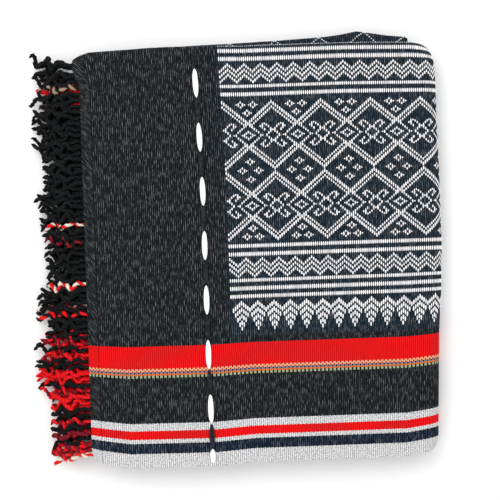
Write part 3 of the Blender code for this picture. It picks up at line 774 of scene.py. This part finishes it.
softYarns = {
    "white": {"name": "whiteYarn", "roughness": 0.75, "sheen": 0.05, "patches": 260.0, "from": 0.35,
              "dark": (0.90, 0.89, 0.91, 1), "light": (0.98, 0.97, 0.98, 1),
              "stretch": 0.12, "fibres": 3200.0, "bump": 0.35, "bumpHeight": 0.15 * mm},
    "black": {"name": "blackYarn", "roughness": 0.6, "sheen": 0.0, "patches": 300.0, "from": 0.3,
              "dark": (0.006, 0.006, 0.009, 1), "light": (0.026, 0.027, 0.034, 1),
              "stretch": 0.1, "fibres": 2600.0, "bump": 0.4, "bumpHeight": 0.2 * mm},
    "patchesTo": 0.7, "patchDetail": 3.0,
}


def softYarnMaterial(yarn):
    made, wire, shader = newMaterial(yarn["name"], yarn["roughness"], yarn["sheen"])
    place = wire.node("ShaderNodeTexCoord").outputs["Object"]
    patchy = wire.noise(place, yarn["patches"], softYarns["patchDetail"])
    patchy = wire.between(patchy, yarn["from"], softYarns["patchesTo"])
    wire.put(shader.inputs["Base Color"], wire.mix(patchy, yarn["dark"], yarn["light"]))
    stretched = wire.node("ShaderNodeMapping", {"Vector": place, "Scale": (1.0, yarn["stretch"], 1.0)})
    fibres = wire.noise(stretched, yarn["fibres"])
    bumped(wire, fibres, yarn["bump"], yarn["bumpHeight"], shader)
    return made


whiteYarn = softYarnMaterial(softYarns["white"])
yarnTree, yarnSockets = yarnFloatTree()


def innerDots():
    # Where the bundle behind stands out past the top fold, dotted peaks show on it
    run = warp[2 * innerRuns[0]]
    found = []
    for peakX, dots in dottedPeaks["peaks"]:
        for side in (-1, 1):
            for i in range(dots):
                v = faceRun + dottedPeaks["apex"] - i * dottedPeaks["drop"]
                u = run["start"] + peakX * mm - run["fromX"] + side * (i + 0.5) * weave["ribPitch"]
                found.append((u, v, v + dottedPeaks["length"]))
    return found


def buildBrocade():
    floats = brocadeFloats()
    picks = np.array([f[0] for f in floats]) + weave["brocadePick"]
    u = uAt(picks)
    middle = np.array([(f[1] + f[2]) / 2 for f in floats])
    dots = innerDots()
    u = np.concatenate([u + lean(u, middle), [dot[0] for dot in dots]])
    source = floatPointsObject("brocadePlaces", floats + dots, u)
    return grown("brocade_floats", source, yarnTree, {yarnSockets["Yarn"]: whiteYarn})


brocadePiece = buildBrocade()
print("brocade", len(brocadePiece.data.polygons))

# The thick yarn across the cloth: white and black floats in turn
thickYarn = {
    "repeat": 48.4 * mm, "topWhiteY": 154.0 * mm, "count": 8, "edgeMargin": 3.0 * mm,
    "white": {"length": 26.0 * mm, "width": 5.2 * mm, "height": 2.6 * mm},
    "black": {"length": 22.0 * mm, "width": 4.8 * mm, "height": 2.2 * mm},
    "rings": 26, "sides": 22, "strands": 7, "groove": 0.10, "turnsInFloat": 0.35,
    "endPower": 2.6, "fullness": 0.62, "tipHeight": 0.1,
}


def buildFloat(name, lowY, highY, size, finish):
    base = stackHeight + fold["gap"]
    points, faces = [], []
    sides = thickYarn["sides"]
    along = (1 - np.cos(np.linspace(0, math.pi, thickYarn["rings"] + 1)[1:-1])) / 2
    for share in along:
        full = (1 - abs(2 * share - 1) ** thickYarn["endPower"]) ** thickYarn["fullness"]
        twist = tau * thickYarn["turnsInFloat"] * share
        for i in range(sides):
            turn = tau * i / sides
            lobe = 0.5 + 0.5 * math.cos(thickYarn["strands"] * turn + twist)
            ridge = 1 - thickYarn["groove"] * lobe
            across = size["width"] / 2 * full * math.cos(turn) * ridge
            up = size["height"] / 2 * (1 + math.sin(turn) * ridge) * full
            points.append((across, lowY + share * (highY - lowY), up))
    lastRing = (len(along) - 1) * sides
    first = len(points)
    points += [(0.0, y, size["height"] * thickYarn["tipHeight"]) for y in (lowY, highY)]
    for i in range(sides):
        j = (i + 1) % sides
        faces += [(r + i, r + j, r + sides + j, r + sides + i) for r in range(0, lastRing, sides)]
        faces += [(first, j, i), (first + 1, lastRing + i, lastRing + j)]
    points = np.array(points)
    x = read(floatLine, "y", "x", points[:, 1]) + points[:, 0]
    x, y, z = settled(x, points[:, 1], base + points[:, 2])
    made = meshObject(name, np.stack([x + shiftX, y + shiftY, z], -1), faces, finish)
    turnOutward(made)
    made.data.shade_smooth()
    return made


def buildThickYarn():
    # A white float and the black one above it, from the top fold down
    blackYarn = softYarnMaterial(softYarns["black"])
    lowest = -fold["edgeY"] + thickYarn["edgeMargin"]
    highest = bendTopY - thickYarn["edgeMargin"]
    made = []
    for i in range(thickYarn["count"]):
        for kind, finish, raised in (("white", whiteYarn, 0.0), ("black", blackYarn, 0.5)):
            middle = thickYarn["topWhiteY"] - (i - raised) * thickYarn["repeat"]
            half = thickYarn[kind]["length"] / 2
            ends = max(middle - half, lowest), min(middle + half, highest)
            piece = buildFloat(f"{kind}_yarn_{i + 1}", *ends, thickYarn[kind], finish)
            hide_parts(f"{kind}_float_{i + 1}")
            made.append(piece)
    return made


thickYarnPieces = buildThickYarn()
print("thick yarn", len(thickYarnPieces))

# The headings: a narrow woven strip parted from each end, with finer diagonal twining
heading = {"steps": 8, "weftStep": 4.0 * mm, "twinePitch": 1.5 * mm, "slant": 1 / (2.4 * mm)}


def buildHeading(name, node, endU, way, finish):
    u = np.sort(endU + way * np.linspace(fold["gap"], fold["heading"], heading["steps"] + 1))
    v = weftRow(heading["weftStep"], heading["weftStep"])
    gridU, gridV = np.meshgrid(u, v, indexing="ij")
    pick = (gridU - endU) / heading["twinePitch"]
    grids = [{"u": u, "v": v, "pick": pick, "points": clothPoints(gridU, gridV, side)}
             for side in (1, -1)]
    made = closedSheet(name, grids, finish)
    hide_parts(node)
    return made


headingFinish = stripedMaterial("headingWeave", heading["slant"])
upperHeading = buildHeading("upper_heading", "upper_fringe", 0.0, -1, headingFinish)
lowerHeading = buildHeading("lower_heading", "lower_fringe", clothLength, 1, headingFinish)
print("headings")

# Fringe: plied cords, each along its own solid strand's route, kinked as limp yarn is
fringe = {
    "pitch": 11.0 * mm, "radius": 2.55 * mm, "rootMargin": 3.0 * mm, "reachSpread": 0.22,
    "golden": 0.618034, "clumpPitch": 41.0 * mm, "clumpLean": 1.1 * mm, "firstDrop": 0.5 * mm,
    "tipAfterLanding": 4.0 * mm, "sweepAt": 50.0 * mm, "sweepPower": 1.3,
    "kinkSide": 3.6 * mm, "kinkUp": 1.3 * mm, "kinkLength": 20.0 * mm, "samples": 32,
    "stiffRoot": 3 * mm, "limpOver": 12 * mm, "sway": (1.0, 0.4, 2.1), "rise": (0.9, 0.5, 1.9),
    "pace": (0.7, 1.2), "kinkSpread": (0.5, 1.1), "radiusSpread": (0.85, 1.08),
    "rootSize": 0.7, "tipSizes": (0.8, 0.35),
    "plyPitch": 11.0 * mm, "plyDepth": 0.24, "profileSides": 12, "seed": 11,
}
strandPhases = {"upper": (0.0, 0.17, 0.5), "lower": (0.83, 0.67, 0.33)}
strandReach = {"upper": (1.0, 0.92, 0.96), "lower": (0.88, 0.97, 0.9)}
strandRanks = {"upper": (1.0, 0.5, 1.0), "lower": (0.0, 0.5, 0.0)}
fall = (
    {"lowOut": 5.0, "lowZ": None, "highOut": 6.0, "highZ": None, "size": 0.8},
    {"lowOut": 12.0, "lowZ": 13.5, "highOut": 18.0, "highZ": 21.5, "size": 1.0},
    {"lowOut": 18.0, "lowZ": 5.5, "highOut": 26.0, "highZ": 13.2, "size": 1.0},
    {"lowOut": 26.0, "lowZ": 2.2, "highOut": 34.0, "highZ": 9.0, "size": 1.0},
    {"lowOut": None, "lowZ": 2.2, "highOut": None, "highZ": 8.9, "size": 0.9},
)
fringeZones = {
    "y": (-188, -160, -138, -120, -97, -75, -57, -43, -24, -5,
          12, 34, 50, 70, 88, 105, 125, 145, 165, 188),
    "reach": (38, 34, 36, 50, 58, 52, 38, 57, 44, 38, 42, 46, 50, 40, 36, 50, 52, 50, 44, 36),
    "sweep": (-13, -9, -5, -2, 0, 2, 0, -2, -4, -3, 3, 0, 2, 2, 0, -1, 0, 2, 7, 12),
}
yarnColours = {
    "black": (0.004, 0.005, 0.006), "red": (0.80, 0.006, 0.010), "darkRed": (0.20, 0.005, 0.014),
    "cream": (0.80, 0.72, 0.58), "beige": (0.34, 0.25, 0.16),
}
# From the top edge down: the two plies and the share of each kind of cord as far as this place
cordZones = (
    {"down": 165, "kinds": (("black", "black", 8), ("red", "black", 2))},
    {"down": 140, "kinds": (("black", "black", 5), ("red", "black", 2), ("red", "red", 2),
                            ("beige", "black", 1))},
    {"down": 38, "kinds": (("black", "black", 1),)},
    {"down": -2, "kinds": (("black", "black", 7), ("darkRed", "black", 1), ("cream", "red", 1))},
    {"down": -34, "kinds": (("black", "black", 10), ("red", "cream", 2), ("red", "black", 1))},
    {"down": -56, "kinds": (("black", "black", 12), ("red", "black", 1), ("red", "cream", 1))},
    {"down": -72, "kinds": (("black", "black", 7), ("red", "darkRed", 3))},
    {"down": -134, "kinds": (("red", "red", 13), ("red", "darkRed", 5), ("red", "cream", 1),
                             ("black", "black", 2))},
    {"down": -158, "kinds": (("darkRed", "darkRed", 3), ("darkRed", "red", 3), ("black", "black", 5))},
    {"down": -190, "kinds": (("black", "black", 5), ("cream", "red", 2), ("cream", "cream", 2),
                             ("darkRed", "red", 2))},
)


def strandPlaces(phases):
    found = []
    margin = fringe["rootMargin"]
    for layer, phase in enumerate(phases):
        y = bendBottomY + margin + phase * fringe["pitch"]
        while y < bendTopY - margin:
            if layer == 0:
                found.append((y + fold["edgeY"], 0))
            elif layer == 1:
                found.append((backStart + bendTopY - y, 1))
            elif y < fold["lastSelvedgeY"] - margin:
                found.append((lastStart + y - bendBottomY, 2))
            y += fringe["pitch"]
    return sorted(found)


def strandRoute(root, rank, reachShare):
    # The solid strand's middles, and its thickness there
    rootY = root[1] - shiftY
    reach = float(read(fringeZones, "y", "reach", rootY)) * reachShare
    sweep = float(read(fringeZones, "y", "sweep", rootY))
    sweep += fringe["clumpLean"] * math.sin(tau * rootY / fringe["clumpPitch"])
    route, sizes, landing = [np.array(root)], [fringe["rootSize"]], 0.0
    for row in fall:
        if row["lowOut"] is None:
            out = max(reach, landing + fringe["tipAfterLanding"])
        else:
            out = (row["lowOut"] + rank * (row["highOut"] - row["lowOut"])) * mm
            landing = out
        z = root[2] - fringe["firstDrop"]
        if row["lowZ"] is not None:
            z = (row["lowZ"] + rank * (row["highZ"] - row["lowZ"])) * mm
        y = root[1] + sweep * (out / fringe["sweepAt"]) ** fringe["sweepPower"]
        route.append(np.array((root[0] - out, y, z)))
        sizes.append(row["size"])
    return np.array(route), np.array(sizes)


def distances(route):
    # How far along its chords each point of a route lies
    chords = np.linalg.norm(np.diff(route, axis=0), axis=1)
    return np.concatenate([[0], np.cumsum(chords)])


def smoothed(route, samples):
    # A smooth curve through the route's points, sampled evenly along its chords
    at = distances(route)
    wanted = np.linspace(0, at[-1], samples)
    ends = np.concatenate([[2 * route[0] - route[1]], route, [2 * route[-1] - route[-2]]])
    result = []
    for s in wanted:
        i = min(int(np.searchsorted(at, s, side="right")) - 1, len(at) - 2)
        t = (s - at[i]) / (at[i + 1] - at[i])
        a, b, c, d = ends[i:i + 4]
        result.append(0.5 * (2 * b + (c - a) * t + (2 * a - 5 * b + 4 * c - d) * t * t
                             + (3 * b - a - 3 * c + d) * t ** 3))
    return np.array(result), wanted, at


def kinked(route, along, radius, chance):
    # Limp plied yarn wanders to the sides and a little up and down, more towards its tip
    free = np.clip((along - fringe["stiffRoot"]) / fringe["limpOver"], 0, 1)
    side = np.zeros_like(route)
    run = np.gradient(route, axis=0)
    flat = np.hypot(run[:, 0], run[:, 1]) + 1e-9
    side[:, 0], side[:, 1] = run[:, 1] / flat, -run[:, 0] / flat
    wave = tau * along / fringe["kinkLength"]
    starts = [chance.uniform(0, tau) for _ in range(4)]
    pace = chance.uniform(*fringe["pace"])
    strength = fringe["kinkSide"] * chance.uniform(*fringe["kinkSpread"])
    rate, share, second = fringe["sway"]
    sway = np.sin(wave * pace * rate + starts[0]) + share * np.sin(wave * second + starts[1])
    rate, share, second = fringe["rise"]
    rise = np.sin(wave * rate + starts[2]) + share * np.sin(wave * second + starts[3])
    moved = route + side * (free * sway * strength)[:, None]
    moved[:, 2] += free * rise * fringe["kinkUp"]
    moved[:, 2] = np.maximum(moved[:, 2], radius)
    return moved


def cordKind(y, chance):
    for zone in cordZones:
        if y >= zone["down"] * mm or zone is cordZones[-1]:
            break
    first, second, _ = chance.choices(zone["kinds"], [k[2] for k in zone["kinds"]])[0]
    return yarnColours[first], yarnColours[second]


def cordTree():
    tree, wire, sockets = newGeometryTree("pliedCords", (
        ("Ply Depth", "NodeSocketFloat", fringe["plyDepth"]),
        ("Sides", "NodeSocketInt", fringe["profileSides"]),
        ("Yarn", "NodeSocketMaterial", None),
    ))
    given, result = wire.node("NodeGroupInput"), wire.node("NodeGroupOutput")
    radius = wire.named("cordRadius")
    lines = wire.node("GeometryNodeMeshToCurve", {"Mesh": given})
    thick = wire.node("GeometryNodeSetCurveRadius", {"Curve": lines, "Radius": radius})
    twisted = wire.node("GeometryNodeSetCurveTilt", {"Curve": thick, "Tilt": wire.named("twist")})
    # The section: a ring drawn in at two places, between the plies
    ring = wire.node("GeometryNodeCurvePrimitiveCircle", {
        "Resolution": given.outputs["Sides"], "Radius": 1.0}, mode="RADIUS")
    turn = wire.times(wire.node("GeometryNodeSplineParameter").outputs["Factor"], tau)
    lobes = wire.math("MULTIPLY_ADD", wire.math("COSINE", wire.times(turn, 2.0)), 0.5, -0.5)
    shrink = wire.math("MULTIPLY_ADD", lobes, given.outputs["Ply Depth"], 1.0)
    place = wire.node("GeometryNodeInputPosition")
    scaled = wire.node("ShaderNodeVectorMath", {0: place, "Scale": shrink}, operation="SCALE")
    shaped = wire.node("GeometryNodeSetPosition", {"Geometry": ring, "Position": scaled})
    marked = wire.node("GeometryNodeStoreNamedAttribute", {
        "Geometry": shaped, "Name": "plySide", "Value": wire.math("COSINE", turn),
    }, data_type="FLOAT", domain="POINT")
    swept = wire.node("GeometryNodeCurveToMesh", {
        "Curve": twisted, "Profile Curve": marked, "Fill Caps": True})
    if "Scale" in swept.inputs:
        wire.put(swept.inputs["Scale"], radius)
    finishTree(wire, given, result, swept)
    return tree, sockets


cordLook = {
    "roughness": 0.85, "plyEdge": 0.2,
    "fuzz": 900.0, "fuzzDetail": 3.0, "fuzzRoughness": 0.6, "fuzzFrom": 0.45, "fuzzTo": 0.75,
    "fuzzShare": 0.05, "fuzzColour": (0.5, 0.48, 0.46, 1), "creaseTo": 0.45, "creaseShade": 0.45,
    "bump": 0.5, "bumpHeight": 0.5 * mm,
}


def cordMaterial():
    made, wire, shader = newMaterial("pliedWool", cordLook["roughness"])
    side, first, second = (wire.node("ShaderNodeAttribute", attribute_name=name).outputs[output]
                           for name, output in (("plySide", "Fac"), ("firstPly", "Color"),
                                                ("secondPly", "Color")))
    place = wire.node("ShaderNodeTexCoord").outputs["Object"]
    colour = wire.mix(wire.between(side, -cordLook["plyEdge"], cordLook["plyEdge"]), first, second)
    fuzz = wire.noise(place, cordLook["fuzz"], cordLook["fuzzDetail"], cordLook["fuzzRoughness"])
    light = wire.between(fuzz, cordLook["fuzzFrom"], cordLook["fuzzTo"])
    colour = wire.mix(wire.times(light, cordLook["fuzzShare"]), colour, cordLook["fuzzColour"])
    # Darker in the crease between the plies
    crease = wire.between(wire.math("ABSOLUTE", side), 0.0, cordLook["creaseTo"])
    shade = cordLook["creaseShade"]
    colour = wire.shaded(colour, wire.math("MULTIPLY_ADD", crease, 1 - shade, shade))
    wire.put(shader.inputs["Base Color"], colour)
    bumped(wire, fuzz, cordLook["bump"], cordLook["bumpHeight"], shader)
    return made


def cordLines(name, cords):
    # One line of points for each cord, with what the node tree reads
    points, edges = [], []
    marks = {"cordRadius": [], "twist": [], "firstPly": [], "secondPly": []}
    for cord in cords:
        start = len(points)
        points += [tuple(p) for p in cord["route"]]
        edges += [(start + i, start + i + 1) for i in range(len(cord["route"]) - 1)]
        length = distances(cord["route"])
        marks["cordRadius"] += list(cord["radius"])
        marks["twist"] += list(cord["phase"] + length * tau / fringe["plyPitch"])
        marks["firstPly"] += [(*cord["colours"][0], 1)] * len(length)
        marks["secondPly"] += [(*cord["colours"][1], 1)] * len(length)
    mesh = bpy.data.meshes.new(name)
    mesh.from_pydata(points, edges, [])
    for key in ("cordRadius", "twist"):
        giveAttribute(mesh, key, "FLOAT", marks[key])
    for key in ("firstPly", "secondPly"):
        giveAttribute(mesh, key, "FLOAT_COLOR", marks[key])
    return linked(name, mesh)


def fringeCords(endU, way, which, chance):
    outerU = endU + way * fold["heading"]
    cords = []
    for count, (v, layer) in enumerate(strandPlaces(strandPhases[which]), start=1):
        root = clothPoints(np.array([outerU]), np.array([v]), 0)[0]
        share = strandReach[which][layer] - fringe["reachSpread"] * ((count * fringe["golden"]) % 1.0)
        route, sizes = strandRoute(root, strandRanks[which][layer], share)
        curve, along, at = smoothed(route, fringe["samples"])
        radius = np.interp(along, at, sizes) * fringe["radius"] * chance.uniform(*fringe["radiusSpread"])
        radius[-2:] *= fringe["tipSizes"]
        cords.append({"route": kinked(curve, along, radius, chance), "radius": radius,
                      "phase": chance.uniform(0, tau), "colours": cordKind(root[1] - shiftY, chance)})
    return cords


chance = random.Random(fringe["seed"])
pliedTree, pliedSockets = cordTree()
pliedWool = cordMaterial()
fringePieces = []
for which, endU, way in (("upper", 0.0, -1), ("lower", clothLength, 1)):
    source = cordLines(f"{which}Lines", fringeCords(endU, way, which, chance))
    piece = grown(f"{which}_cords", source, pliedTree, {pliedSockets["Yarn"]: pliedWool})
    turnOutward(piece)
    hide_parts(f"{which}_fringe")
    fringePieces.append(piece)
    print(which, "cords", len(piece.data.polygons))

# Everything rides on the one body, and the blanket is one folded sheet with what is on it
others = [brocadePiece, upperHeading, lowerHeading, *fringePieces, *thickYarnPieces]
for piece in [clothPiece, *others]:
    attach(piece, "root")

# Floor, light and camera
studio = {
    "floor": 0.97, "floorRoughness": 0.9, "floorReach": 4.0, "floorDrop": 0.5 * mm,
    "world": 1.0, "key": 11.0, "keySize": 1.2, "keyPlace": (-0.55, 0.75, 1.5),
    "distance": 1.6, "frameWidth": 450 * mm, "sensor": 36.0, "roll": -2.0,
    "aim": (13.1 * mm, -1.0 * mm), "clip": (0.05, 20),
}


def buildStudio():
    pale = bpy.data.materials.new("paleFloor")
    pale.use_nodes = True
    shader = pale.node_tree.nodes["Principled BSDF"]
    shader.inputs["Base Color"].default_value = (*[studio["floor"]] * 3, 1)
    shader.inputs["Roughness"].default_value = studio["floorRoughness"]
    reach, drop = studio["floorReach"], -studio["floorDrop"]
    edges = [(-reach, -reach, drop), (reach, -reach, drop), (reach, reach, drop), (-reach, reach, drop)]
    floor = meshObject("floor", edges, [(0, 1, 2, 3)], pale)
    world = bpy.data.worlds.new("studio")
    world.use_nodes = True
    world.node_tree.nodes["Background"].inputs["Color"].default_value = (1, 1, 1, 1)
    world.node_tree.nodes["Background"].inputs["Strength"].default_value = studio["world"]
    bpy.context.scene.world = world
    lamp = bpy.data.lights.new("key", "AREA")
    lamp.energy = studio["key"]
    lamp.size = studio["keySize"]
    key = linked("key", lamp)
    key.location = studio["keyPlace"]
    key.rotation_euler = (-Vector(studio["keyPlace"])).to_track_quat("-Z", "Y").to_euler()
    bpy.context.scene.view_settings.view_transform = "Standard"
    return floor


def buildCamera():
    lens = bpy.data.cameras.new("camera")
    lens.sensor_width = studio["sensor"]
    lens.lens = studio["sensor"] * studio["distance"] / studio["frameWidth"]
    lens.clip_start, lens.clip_end = studio["clip"]
    camera = linked("camera", lens)
    camera.location = (*studio["aim"], studio["distance"] + stackHeight)
    camera.rotation_euler = (0, 0, math.radians(studio["roll"]))
    bpy.context.scene.camera = camera


floor = buildStudio()
buildCamera()
print("studio ready")
